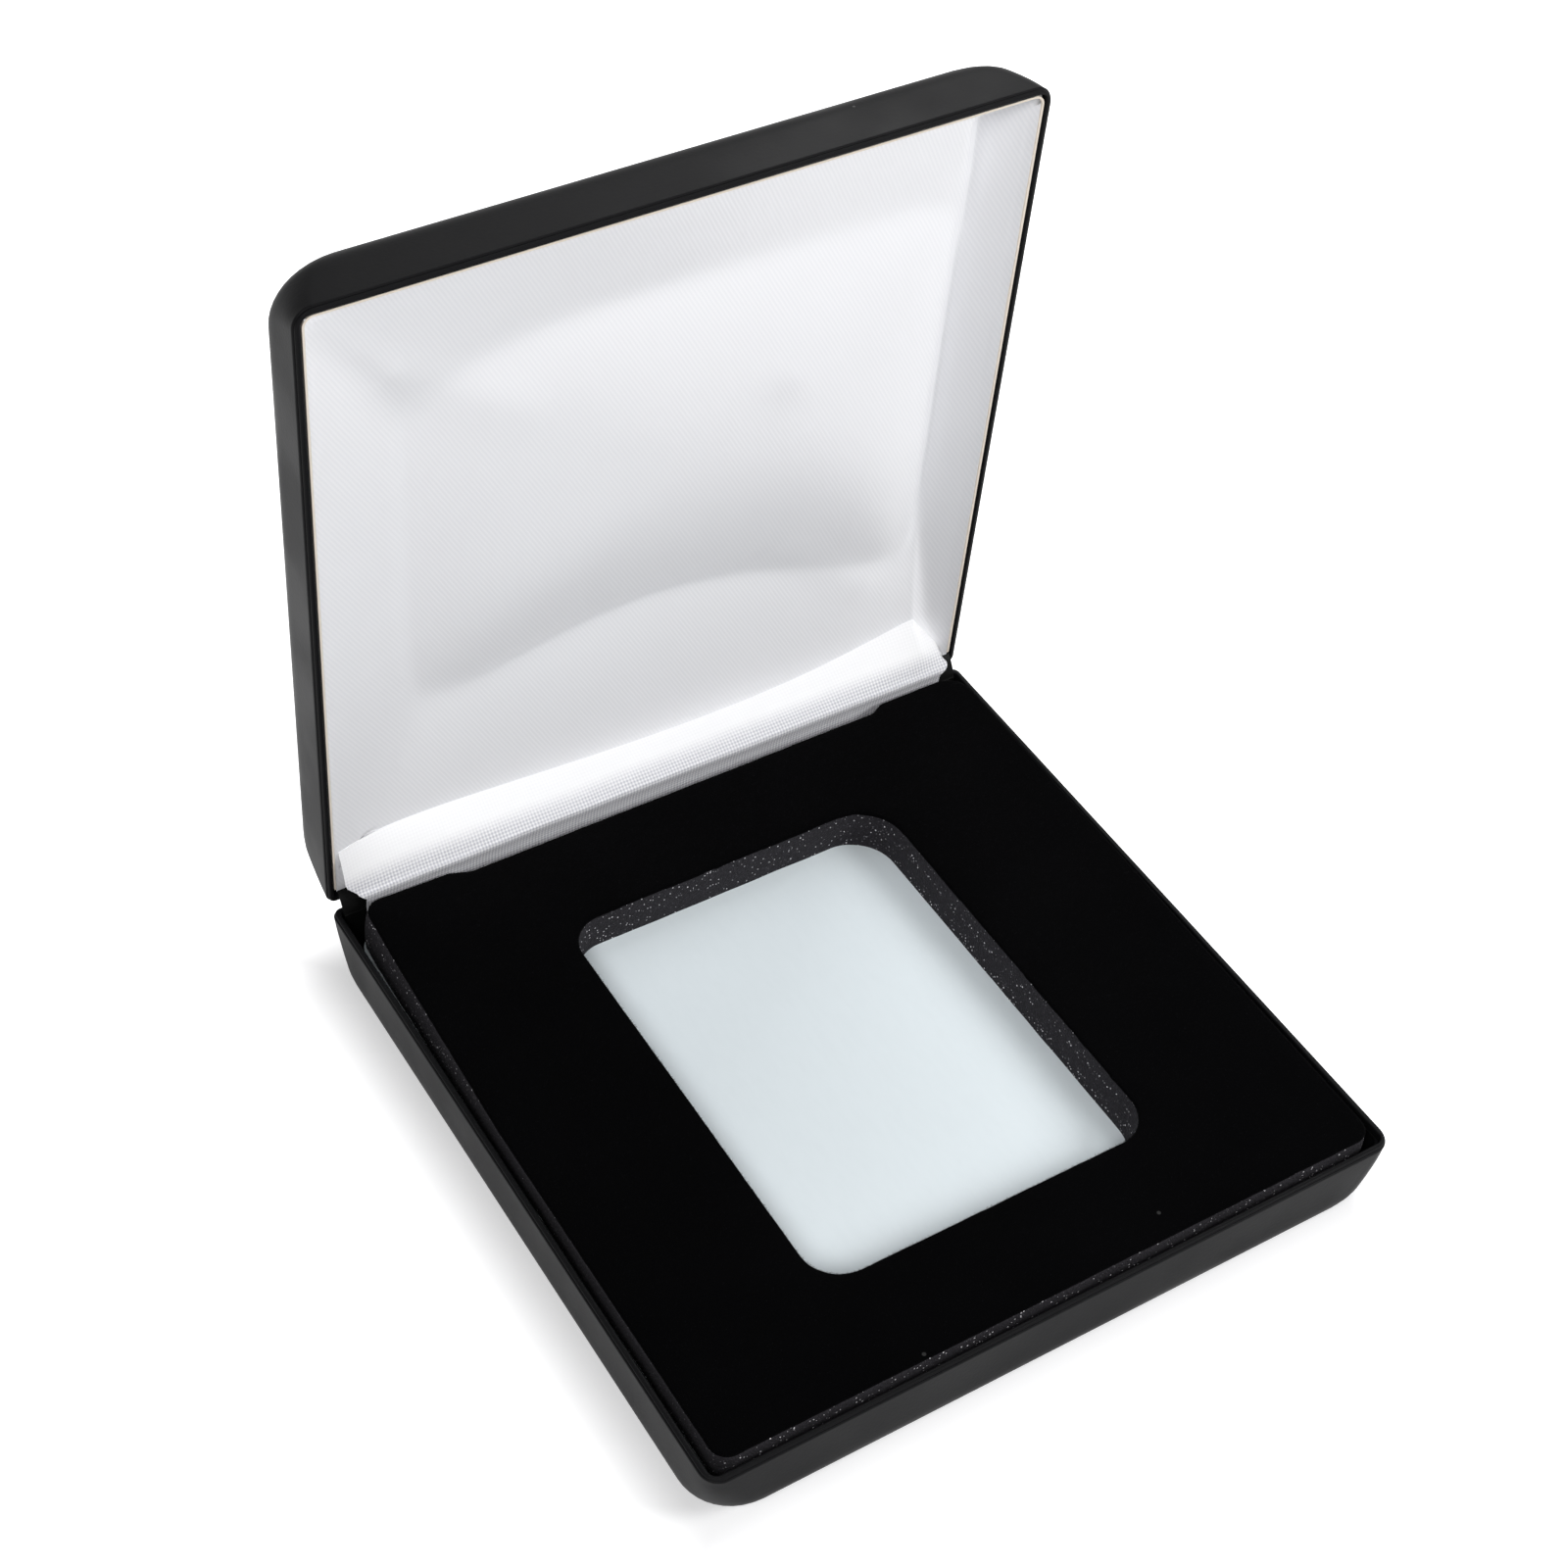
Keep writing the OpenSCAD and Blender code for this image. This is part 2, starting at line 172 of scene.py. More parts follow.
def tray_ring(w, r, d, h):
    """Ring at distance d from the rim; the two corners at the hinge are tighter near the rim."""
    back_r = r - min(BACK_LESS * (1 - d / h), r - 0.9)
    return level_ring(ring_plan(w, w, r, back_r), d)


def cut_hinge_notch(obj, put):
    """Cuts the hinge's way through the back wall; put places the box as it placed the piece."""
    corners = [(x, y, z) for x in (-NOTCH_HALF, NOTCH_HALF) for y in (NOTCH_Y, HALF + 1)
               for z in (-1, NOTCH_DEEP)]
    faces = [(0, 1, 3, 2), (4, 6, 7, 5), (0, 4, 5, 1), (2, 3, 7, 6), (0, 2, 6, 4), (1, 5, 7, 3)]
    cutter = mesh_piece("cutter", put(corners), faces)
    face_outward(cutter)
    mod = obj.modifiers.new("notch", "BOOLEAN")
    mod.operation = "DIFFERENCE"
    mod.object = cutter
    mod.solver = "EXACT"
    seen_now = bpy.context.evaluated_depsgraph_get()
    mesh = bpy.data.meshes.new_from_object(obj.evaluated_get(seen_now))
    obj.modifiers.clear()
    old = obj.data
    obj.data = mesh
    bpy.data.meshes.remove(old)
    bpy.data.objects.remove(cutter)


def pressed_piece(name, rings, put, node, **ends):
    """A tray or lip from its rings, with the notch cut and its edges set."""
    points, faces = loft(rings, **ends)
    obj = mesh_piece(name, put(points), faces)
    face_outward(obj)
    cut_hinge_notch(obj, put)
    obj.data.shade_smooth()
    obj.data.set_sharp_from_angle(angle=math.radians(50))
    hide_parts(node)
    return obj


def tray(name, h, put, node):
    """Pressed tray: vertical side, rolled edge, flat face, and the cut edge at the rim."""
    rows = []
    r = EDGE_R
    flat = HALF - r
    rows.append((h, flat - 8, plan_r(h, h) - 3))
    for i in range(13):
        a = math.pi / 2 * (1 - i / 12)
        d = h - r + r * math.sin(a)
        rows.append((d, HALF - r * (1 - math.cos(a)), plan_r(d, h)))
    for d in np.linspace(h - r, 1.0, 7)[1:]:
        rows.append((d, HALF, plan_r(d, h)))
    rows += [(SEAT + 0.28, HALF, RIM_R), (SEAT + 0.12, HALF - 0.06, RIM_R),
             (SEAT + 0.03, HALF - 0.18, RIM_R - 0.1), (SEAT, HALF - 0.32, RIM_R - 0.2),
             (SEAT, HALF - WALL, RIM_R - WALL)]
    ri, hi, wi = r - WALL, h - WALL, HALF - WALL
    for d in np.linspace(1.0, hi - ri, 4):
        rows.append((d, wi, plan_r(d, h) - WALL))
    for i in range(1, 9):
        a = math.pi / 2 * i / 8
        d = hi - ri + ri * math.sin(a)
        rows.append((d, wi - ri * (1 - math.cos(a)), plan_r(d, h) - WALL))
    rows.append((hi, wi - ri - 8, FOOT_R - WALL - 3))
    rings = [tray_ring(w, c, d, h) for d, w, c in rows]
    return pressed_piece(name, rings, put, node, capped=True)


def rim(name, h, put, node):
    """Lip with a rounded crown, and the skirt that grips the tray's wall."""
    lip = [(1.6, 0.0), (0.35, 0.0), (0.12, 0.08), (0.02, 0.25), (0.0, 0.5), (0.03, 0.75),
           (0.14, 0.95), (0.32, 1.02), (0.42, 1.0), (0.44, 0.6), (0.5, 0.48)]
    rows = [(d, LIP_HALF + out, LIP_CORNER_R + 1.8 * out) for d, out in lip]
    for d, out in ((1.6, 0.48), (SKIRT_DEEP, 0.48), (SKIRT_DEEP, -0.1), (1.62, -0.1)):
        w = LIP_HALF + out
        rows.append((d, w, plan_r(d, h) - (HALF - w)))
    rings = [tray_ring(w, c, d, h) for d, w, c in rows]
    return pressed_piece(name, rings, put, node, closed=True)


# Outlines with rounded corners
def outline(corners):
    """Closed outline through (x, y, radius) corners, with evenly spaced points."""
    pts = []
    n = len(corners)
    for i in range(n):
        p0 = np.array(corners[i - 1][:2], float)
        p1 = np.array(corners[i][:2], float)
        p2 = np.array(corners[(i + 1) % n][:2], float)
        r = corners[i][2]
        a, b = p0 - p1, p2 - p1
        a, b = a / np.linalg.norm(a), b / np.linalg.norm(b)
        half = math.acos(max(-1, min(1, float(a @ b)))) / 2
        t = r / math.tan(half)
        s, e = p1 + a * t, p1 + b * t
        centre = p1 + (a + b) / np.linalg.norm(a + b) * (r / math.sin(half))
        a0 = math.atan2(*(s - centre)[::-1])
        a1 = math.atan2(*(e - centre)[::-1])
        turn = (a1 - a0 + math.pi) % (2 * math.pi) - math.pi
        k = max(3, int(abs(turn) * r / (OUTLINE_STEP * 0.6)))
        for j in range(k + 1):
            g = a0 + turn * j / k
            pts.append(centre + r * np.array([math.cos(g), math.sin(g)]))
    out = []
    m = len(pts)
    for i in range(m):
        p, q = pts[i], pts[(i + 1) % m]
        d = np.linalg.norm(q - p)
        k = max(1, int(round(d / OUTLINE_STEP)))
        for j in range(k):
            out.append(p + (q - p) * j / k)
    return np.array(out)


def outward(loop):
    """Unit normals that point to the right of the way round: outward on a counter-clockwise loop."""
    d = np.roll(loop, -1, 0) - np.roll(loop, 1, 0)
    d /= np.linalg.norm(d, axis=1)[:, None]
    return np.column_stack([d[:, 1], -d[:, 0]])


def wobble(x, y, z, scale, seed):
    """Smooth unevenness from about -1 to 1; it repeats on every run."""
    return noise.noise(Vector((x * scale + seed, y * scale - seed, z * scale + 2 * seed)))


FOAM_LOOP = outline([(-63.1, -63.7, 3.2), (62.9, -63.7, 3.2), (63.9, 62.5, 5.0),
                     (46.4, 62.5, 2.4), (43.8, 61.1, 2.4), (-41.0, 61.1, 2.6), (-44.6, 62.5, 2.6),
                     (-61.3, 62.5, 3.2), (-63.2, 8.0, 60.0)])
RECESS_LOOP = outline([(-33.0, -44.7, 7.0), (31.7, -44.6, 6.5), (31.8, 41.0, 8.5),
                       (-32.7, 41.0, 6.5)])


def corner_lift(x, y):
    """The foam's back left corner stands a little high."""
    d = math.hypot((x + 63) / 26, (y - 62.5) / 22)
    return max(0.0, 1 - d) ** 2


def top_level(x, y):
    return VELVET_Z + corner_lift(x, y) + 0.10 * wobble(x, y, 0, 0.035, 4.0)


def both_loops(outer_count, inner_count):
    """Edges round the outer outline's points and then round the recess's."""
    return ([(i, (i + 1) % outer_count) for i in range(outer_count)]
            + [(outer_count + i, outer_count + (i + 1) % inner_count) for i in range(inner_count)])


def foam_block():
    """Upper foam: cut sides, a little uneven, with the recess leaning as in the real one."""
    rows = 9
    outer, inner = [], []
    n_out, n_in = outward(FOAM_LOOP), outward(RECESS_LOOP)
    for k in range(rows):
        t = k / (rows - 1)
        a, b = [], []
        for p, n in zip(FOAM_LOOP, n_out):
            z = FOAM_FOOT + (top_level(*p) - VELVET_THICK - FOAM_FOOT) * t
            push = (0.16 * wobble(p[0], p[1], z, 0.12, 1.0) - 0.10 - 0.25 * (1 - t)
                    + 0.25 * math.sin(math.pi * t))
            if p[0] < -58:
                push += 1.3 * (1 - t) ** 0.7 * max(0.0, min(1.0, p[1] / 55))
            a.append((*(p + n * push), z))
        for p, n in zip(RECESS_LOOP, n_in):
            z = FOAM_FOOT + (top_level(*p) - VELVET_THICK - FOAM_FOOT) * t
            lean = np.array([-1.2, 0.0]) * (1 - t) * max(0.0, min(1.0, (p[0] - 10) / 18))
            push = 0.10 * wobble(p[0], p[1], z, 0.15, 7.0) + 0.12 * math.sin(math.pi * t) ** 2
            b.append((*(p - n * push + lean), z))
        outer.append(np.array(a))
        inner.append(np.array(b))
    po, fo = loft(outer)
    pi, fi = loft(inner)
    offset = len(po)
    faces = fo + [tuple(i + offset for i in f[::-1]) for f in fi]
    points = np.vstack([po, pi])
    for level, flip in ((0, True), (rows - 1, False)):
        no, ni = len(FOAM_LOOP), len(RECESS_LOOP)
        io = [level * no + i for i in range(no)]
        ii = [offset + level * ni + i for i in range(ni)]
        ids = io + ii
        flat = [Vector(points[i][:2]) for i in ids]
        edges = both_loops(no, ni)
        holes = [list(range(no)), list(range(no, no + ni))[::-1]]
        v, _, f, ov, _, _ = delaunay_2d_cdt(flat, edges, holes, 2, 1e-6)
        back = [ids[o[0]] for o in ov]
        for t in f:
            c = sum((v[i] for i in t), Vector((0, 0))) / len(t)
            if inside(c, RECESS_LOOP):
                continue
            face = tuple(back[i] for i in t)
            faces.append(face[::-1] if flip else face)
    obj = mesh_piece("foam_block", points, faces, 50)
    face_outward(obj)
    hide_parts("foam_insert")
    return obj


def inside(p, loop):
    """Whether p lies in the loop, by counting the edges to its right."""
    x, y = p[0], p[1]
    a, b = loop, np.roll(loop, -1, 0)
    cross = ((a[:, 1] > y) != (b[:, 1] > y))
    at = a[:, 0] + (y - a[:, 1]) / np.where(cross, b[:, 1] - a[:, 1], 1.0) * (b[:, 0] - a[:, 0])
    return bool(np.count_nonzero(cross & (x < at)) % 2)


def velvet_sheet():
    """Velvet face: one cloth that rolls over the foam's cut edges."""
    drop = [(0.0, 0.55), (0.03, 0.30), (0.12, 0.12), (0.30, 0.02), (0.52, 0.0)]
    sets = []
    for loop, sign in ((FOAM_LOOP, 1), (RECESS_LOOP, -1)):
        n = outward(loop) * sign
        rows = []
        for down, back in drop:
            push = [0.06 * wobble(p[0], p[1], 3.0, 0.35, 2.0) for p in loop]
            q = loop - n * back + n * np.array(push)[:, None]
            rows.append([(x, y, top_level(x, y) - down) for x, y in q])
        sets.append(np.array(rows))
    outer, inner = sets
    no, ni = outer.shape[1], inner.shape[1]
    xs = np.arange(-60, 61, 4.0)
    extra = []
    edge_out, edge_in = outer[0][:, :2], inner[0][:, :2]
    for x in xs:
        for y in xs:
            p = (x + 0.9 * math.sin(y), y + 0.9 * math.cos(x))
            near = min(np.hypot(*(edge_out - p).T).min(), np.hypot(*(edge_in - p).T).min())
            if near > 1.6 and inside(p, edge_out) and not inside(p, edge_in):
                extra.append(p)
    flat = [Vector(p) for p in edge_out] + [Vector(p) for p in edge_in] + [Vector(p) for p in extra]
    edges = both_loops(no, ni)
    v, _, f, came_from, _, _ = delaunay_2d_cdt(flat, edges, [], 0, 1e-6)
    points = [(p.x, p.y, top_level(p.x, p.y)) for p in v]
    at = {first: i for i, firsts in enumerate(came_from) for first in firsts}
    faces = []
    for t in f:
        c = sum((v[i] for i in t), Vector((0, 0))) / len(t)
        if inside(c, edge_out) and not inside(c, edge_in):
            faces.append(tuple(t))
    for rows, count, offset in ((outer, no, 0), (inner, ni, no)):
        last = [at[offset + i] for i in range(count)]
        for row in rows[1:]:
            start = len(points)
            points += [tuple(p) for p in row]
            for i in range(count):
                j = (i + 1) % count
                faces.append((last[i], last[j], start + j, start + i))
            last = [start + i for i in range(count)]
    obj = mesh_piece("velvet", points, faces)
    face_outward(obj)
    up = sum(p.normal.z * p.area for p in obj.data.polygons)
    if up < 0:
        obj.data.flip_normals()
    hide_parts("velvet_face")
    return obj


def velvet_pile():
    """Short fibres that break the velvet's outline along its cut edges."""
    rng = np.random.default_rng(11)
    points, faces = [], []
    for loop, sign, per in ((FOAM_LOOP, 1, 7), (RECESS_LOOP, -1, 10)):
        n = outward(loop) * sign
        m = len(loop)
        for i in range(m):
            for _ in range(per):
                t = rng.random()
                p = loop[i] + (loop[(i + 1) % m] - loop[i]) * t
                nn = n[i]
                along = np.array([-nn[1], nn[0]])
                lift = rng.uniform(-0.30, 0.02)
                root = np.array([*(p - nn * 0.1), top_level(*p) + lift])
                size = rng.uniform(0.12, 0.42) * (0.6 if rng.random() < 0.8 else 1.2)
                level = nn * rng.uniform(0.5, 1.0) + along * rng.uniform(-0.5, 0.5)
                way = np.array([*level, rng.uniform(-0.3, 0.45)])
                tip = root + way / np.linalg.norm(way) * size
                side = np.array([*(along * 0.035), 0.0])
                up = np.array([0, 0, 0.035])
                k = len(points)
                points += [root - side, root + side, root + up, tip]
                faces += [(k, k + 1, k + 3), (k + 1, k + 2, k + 3), (k + 2, k, k + 3)]
    return mesh_piece("velvet_pile", points, faces)


def lower_foam():
    """Foam that fills the tray, from (level, half width, corner radius) rows."""
    rows = [(1.0, 50.0, 8.0), (1.0, 57.8, 10.5), (2.2, 60.6, 9.5), (4.5, 62.2, 8.5),
            (8.4, 63.0, 7.0), (9.05, 62.9, 7.0)]
    points, faces = loft([level_ring(ring_plan(w, w, c), z) for z, w, c in rows], capped=True)
    obj = mesh_piece("lower_foam", points, faces, 50)
    face_outward(obj)
    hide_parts("support_foam")
    return obj


# The lid's satin pad
PAD_SIDE = 64.35
PAD_F, PAD_B = -64.35, 63.95            # front and hinge edges
PAD_LIP = 0.45                          # depths below the lid's rim: at the edge,
CROWN, FOLD = 1.9, 4.9                  # on the pillow, at the fold by the hinge,
CHANNEL, CHANNEL_RIGHT = 6.9, 8.0       # and in the channel round the pillow
CHANNEL_TOP, CHANNEL_ARC = 4.3, 9.0
BORDER_LEFT, BORDER_RIGHT, BORDER_TOP = 17.6, 7.4, 18.1
PILLOW_X, PILLOW_Y = 4, -9              # the pillow's highest point
PAD_STEPS = 128
PAD_PULL = 0.004                        # the corners are drawn in by this share
BLEND = 0.35                            # softness between the satin's faces


def steps(n):
    """2n + 1 places from -1 to 1, closer together near both ends."""
    a = 1 - (np.arange(n + 1) / n) ** 1.35
    return np.concatenate([-a, a[:-1][::-1]])


def fold_run(x):
    """Distance from the hinge edge to the line where the satin folds over."""
    left = 5.5 * (np.maximum(12 - x, 0) / 70) ** 1.6
    right = 6.0 * (np.maximum(x - 12, 0) / 46) ** 2.5
    to_corner = 10.0 - 1.38 * (x - 57.3)
    return np.maximum(np.minimum(4.3 + left + right, to_corner), 1.0)


def fold_level(x):
    """Depth of that line, which comes forward at both ends."""
    return FOLD - 3.6 * (np.maximum(-x, 0) / 62) ** 6 - 3.0 * (np.maximum(x, 0) / 63) ** 14


def pillow_depth(x, y):
    """Crowned pillow with an arched lower end and a steep flank on its right."""
    to_right = np.maximum(x - PILLOW_X, 0)
    u = np.where(x < PILLOW_X, np.abs(PILLOW_X - x) / 50.5, (to_right / 57.0) ** 3)
    arch = 36 + 0.0078 * x * x
    v = np.where(y < PILLOW_Y, np.abs(PILLOW_Y - y) / 37, np.abs(y - PILLOW_Y) / arch)
    a, b = u ** 4 + 1e-9, v ** 4
    side = np.where(x < PILLOW_X, CHANNEL, CHANNEL_RIGHT)
    end = np.where(y < PILLOW_Y, CHANNEL_TOP, CHANNEL_ARC)
    channel = (a * side + b * end) / (a + b)
    crown = CROWN + (channel - CROWN) * ((a + b) ** 0.25) ** 2.2
    flank = 2.6 + 1.05 * (x - 51.8 - 0.4 * np.cos((y + 4) / 38))
    return 0.3 * np.logaddexp(crown / 0.3, flank / 0.3)


# Creases pulled into the satin: two ends (x, distance from the hinge side), half width and depth;
# a negative depth is a ridge under tension
TUCKS = [
    ((63.9, 0.9), (57.4, 10.2), 0.55, 1.0),
    ((-62.6, 10.6), (-55.5, 11.6), 0.4, 0.5),
    ((-62.8, 8.6), (-57.0, 11.8), 0.35, 0.45),
    ((50.5, 112.0), (24.0, 86.0), 5.0, -0.6),
    ((-47.5, 110.0), (-28.0, 97.0), 5.0, -0.35),
    ((-62.0, 127.5), (-48.5, 111.5), 2.6, -0.25),
    ((46.0, 24.0), (26.0, 42.0), 4.0, -0.30),
]


def tuck_depth(x, s):
    """What the creases add at x, a distance s from the hinge side."""
    total = np.zeros_like(x)
    for (x0, s0), (x1, s1), width, deep in TUCKS:
        dx, ds = x1 - x0, s1 - s0
        t = np.clip(((x - x0) * dx + (s - s0) * ds) / (dx * dx + ds * ds), 0, 1)
        away = np.hypot(x - x0 - t * dx, s - s0 - t * ds)
        total += deep * np.exp(-(away / width) ** 2)
    return total


def corner_wedge(x, y):
    """The front border falls away to the right before it meets the right one."""
    past = (x - 50.8 - 0.2 * (y - PAD_F)) / 0.5
    return 0.55 * np.logaddexp(0, past) * np.clip((y - PAD_F) / 3.0, 0, 1)


def pad_depth(x, y, creased=True):
    """Depth of the satin below the lid's rim: its borders and the pillow, blended softly.
    y is -66 at the front edge and +66 at the hinge."""
    t = PAD_B - y
    run, level = fold_run(x), fold_level(x)
    parts = [PAD_LIP + (CHANNEL - PAD_LIP) * (x + PAD_SIDE) / BORDER_LEFT,
             PAD_LIP + (CHANNEL_RIGHT - PAD_LIP) * (PAD_SIDE - x) / BORDER_RIGHT,
             PAD_LIP + (CHANNEL_TOP - PAD_LIP) * (y - PAD_F) / BORDER_TOP + corner_wedge(x, y),
             PAD_LIP + (level - PAD_LIP) * t / run,
             level + 0.13 * (t - run), pillow_depth(x, y)]
    total = sum(np.exp(-p / BLEND) for p in parts)
    depth = np.maximum(PAD_LIP, -BLEND * np.log(total))
    if not creased:
        return depth
    edge = np.minimum(np.minimum(x + PAD_SIDE, PAD_SIDE - x), np.minimum(y - PAD_F, PAD_B - y))
    return depth + tuck_depth(x, HALF - y) * np.clip(edge / 1.2, 0, 1)


def wobble_grid(x, y, scale, seed):
    return np.array([[wobble(a, b, 0, scale, seed) for a, b in zip(ra, rb)] for ra, rb in zip(x, y)])


def satin_pad():
    """The satin's face as one grid, closed behind by its turned-in sides and the board."""
    s = steps(PAD_STEPS)
    m = len(s)
    u, v = np.meshgrid(s, s, indexing="ij")
    x = PAD_SIDE * u * (1 - PAD_PULL * np.abs(v) ** 12)
    mid, half = (PAD_F + PAD_B) / 2, (PAD_B - PAD_F) / 2
    y = mid + half * v * (1 - PAD_PULL * np.abs(u) ** 12)
    z = pad_depth(x, y)
    waver = wobble_grid(x, y, 0.11, 5.0)
    slack = wobble_grid(x, y, 0.045, 9.0)
    rim_side = np.maximum(np.abs(u), np.abs(v))
    z = z + 0.10 * slack * (rim_side < 0.98) + 0.05 * waver * (rim_side > 0.98)
    x = x + 0.10 * waver * np.abs(u) ** 40
    y = y + 0.10 * waver * np.abs(v) ** 40
    z = np.maximum(z, 0.36)
    front = np.column_stack([x.ravel(), y.ravel(), z.ravel()])
    faces = []
    for i in range(m - 1):
        for j in range(m - 1):
            a = i * m + j
            faces.append((a, a + m, a + m + 1, a + 1))
    loop = [i * m for i in range(m - 1)] + [(m - 1) * m + j for j in range(m - 1)] \
        + [i * m + m - 1 for i in range(m - 1, 0, -1)] + [j for j in range(m - 1, 0, -1)]
    shut = []
    for w, depth in ((0.985, 1.6), (0.965, 4.2), (0.93, 11.6)):
        shut.append(np.column_stack([front[loop][:, :2] * w, np.full(len(loop), depth)]))
    points = np.vstack([front] + shut)
    last = loop
    for k in range(len(shut)):
        base = m * m + k * len(loop)
        here = [base + i for i in range(len(loop))]
        for i in range(len(loop)):
            j = (i + 1) % len(loop)
            faces.append((last[i], here[i], here[j], last[j]))
        last = here
    faces.append(tuple(last))
    obj = mesh_piece("satin_pad", on_lid(points), faces)
    face_outward(obj)
    lay_cloth(obj, points[:, :2])
    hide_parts("satin_lining", "pad_wadding")
    return obj


def lay_cloth(obj, flat):
    """UVs in the cloth's own plane, 100 mm to the unit."""
    uv = obj.data.uv_layers.new(name="cloth")
    for corner in obj.data.loops:
        across, along = flat[corner.vertex_index]
        uv.data[corner.index].uv = (across * 0.01, along * 0.01)


# Strips over the hinge
def smooth_path(path):
    """Points on a smooth curve through the given ones, four to a stretch."""
    path = np.array(path, float)
    fine = []
    for i in range(len(path) - 1):
        p0, p1, p2, p3 = path[max(i - 1, 0)], path[i], path[i + 1], path[min(i + 2, len(path) - 1)]
        for t in (0.0, 0.25, 0.5, 0.75):
            fine.append(0.5 * ((2 * p1) + (p2 - p0) * t + (2 * p0 - 5 * p1 + 4 * p2 - p3) * t * t
                               + (3 * p1 - p0 - 3 * p2 + p3) * t ** 3))
    fine.append(path[-1])
    return np.array(fine)


def strip_over_hinge(name, path_at, thick, xs, node, spread=0.0):
    """Closed strip of even thickness. path_at(x) gives its front face as [y, z above the base rim].
    Above its roll the strip gets wider towards its far edge, up to spread mm at each end."""
    nx = len(xs)
    front, back, cloth = [], [], []
    for x in xs:
        fine = smooth_path(path_at(x))
        d = np.gradient(fine, axis=0)
        d /= np.linalg.norm(d, axis=1)[:, None]
        normal = np.column_stack([-d[:, 1], d[:, 0]])
        length = np.concatenate([[0], np.cumsum(np.linalg.norm(np.diff(fine, axis=0), axis=1))])
        for p, n, along in zip(fine, normal, length):
            q = p - n * thick
            wider = x * (1 + spread / 60 * max(0.0, min(1.0, (p[1] - 2.5) / 3.5)))
            front.append((wider, p[0], BASE_H + p[1]))
            back.append((wider, q[0], BASE_H + q[1]))
            cloth.append((wider, along))
    k = len(fine)
    m = nx * k
    faces = []
    for a in range(nx - 1):
        for b in range(k - 1):
            c = a * k + b
            faces.append((c, c + k, c + k + 1, c + 1))
            faces.append((m + c, m + c + 1, m + c + k + 1, m + c + k))
        c, e = a * k, a * k + k - 1
        faces.append((c, m + c, m + c + k, c + k))
        faces.append((e, e + k, m + e + k, m + e))
    for b in range(k - 1):
        c, e = b, (nx - 1) * k + b
        faces.append((c, c + 1, m + c + 1, m + c))
        faces.append((e, m + e, m + e + 1, e + 1))
    obj = mesh_piece(name, front + back, faces, 50)
    face_outward(obj)
    lay_cloth(obj, cloth + cloth)
    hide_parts(node)
    print(name, "width of cloth", round(max(c[1] for c in cloth), 2), "mm")
    return obj


FLAP_SPREAD = 3.4      # the flap is this much wider at each end of its lid side


def spring_path(x):
    """The spring strip has the same bend all along."""
    return [(63.65, -8.2), (63.65, -1.2), (63.85, -0.4), (64.2, 0.5), (64.6, 1.4), (65.1, 2.3),
            (65.7, 3.1), (66.3, 3.7)]


def flap_path(x):
    """From behind the foam, over a soft roll, and back to the fold in the lid's satin."""
    far_x = np.float64(x * (1 + FLAP_SPREAD / 60))
    run = float(fold_run(far_x))
    depth = float(pad_depth(far_x, np.float64(PAD_B - run), creased=False))
    _, y, z = on_lid([(x, PAD_B - run, depth - 0.16)])[0]
    end = np.array([y, z - BASE_H])
    high = 0.35 * math.exp(-((x + 14) / 16) ** 2) + 0.22 * wobble(x, 0, 0, 0.06, 3.0)
    out = 0.10 * wobble(x, 2, 0, 0.09, 6.0)
    roll = np.array([63.6 + out, 4.3 + high])
    bow = np.array([-0.25, 0.3]) * (0.8 + wobble(x, 4, 0, 0.05, 8.0))
    way = end - roll
    return [(63.5, -3.3), (63.5, -1.0), (63.4 + out, 0.7), (63.15 + out, 2.0 + 0.5 * high),
            (62.85 + out, 3.0 + 0.8 * high), (62.98 + out, 3.8 + high), tuple(roll),
            tuple(roll + way * 0.33 + bow), tuple(roll + way * 0.7 + bow * 0.8), tuple(end)]


# Shader groups
def new_group(name, inputs, outputs):
    g = bpy.data.node_groups.new(name, "ShaderNodeTree")
    for label, kind, value in inputs:
        s = g.interface.new_socket(label, in_out="INPUT", socket_type=kind)
        if value is not None:
            s.default_value = value
    for label, kind in outputs:
        g.interface.new_socket(label, in_out="OUTPUT", socket_type=kind)
    return g, g.nodes.new("NodeGroupInput"), g.nodes.new("NodeGroupOutput")


def node(tree, kind, **values):
    n = tree.nodes.new(kind)
    for key, value in values.items():
        setattr(n, key, value)
    return n


def math_node(tree, op, a, b=None):
    n = node(tree, "ShaderNodeMath", operation=op)
    for i, value in enumerate((a, b)):
        if value is None:
            continue
        if isinstance(value, (int, float)):
            n.inputs[i].default_value = value
        else:
            tree.links.new(value, n.inputs[i])
    return n.outputs[0]


def ramp(tree, value, low, high, out_low=0.0, out_high=1.0):
    n = node(tree, "ShaderNodeMapRange", interpolation_type="SMOOTHSTEP")
    tree.links.new(value, n.inputs["Value"])
    n.inputs["From Min"].default_value = low
    n.inputs["From Max"].default_value = high
    n.inputs["To Min"].default_value = out_low
    n.inputs["To Max"].default_value = out_high
    return n.outputs["Result"]


def noise_node(tree, vector, scale, detail=2.0, rough=0.5):
    n = node(tree, "ShaderNodeTexNoise")
    n.inputs["Scale"].default_value = scale
    n.inputs["Detail"].default_value = detail
    n.inputs["Roughness"].default_value = rough
    tree.links.new(vector, n.inputs["Vector"])
    return n.outputs["Fac"]


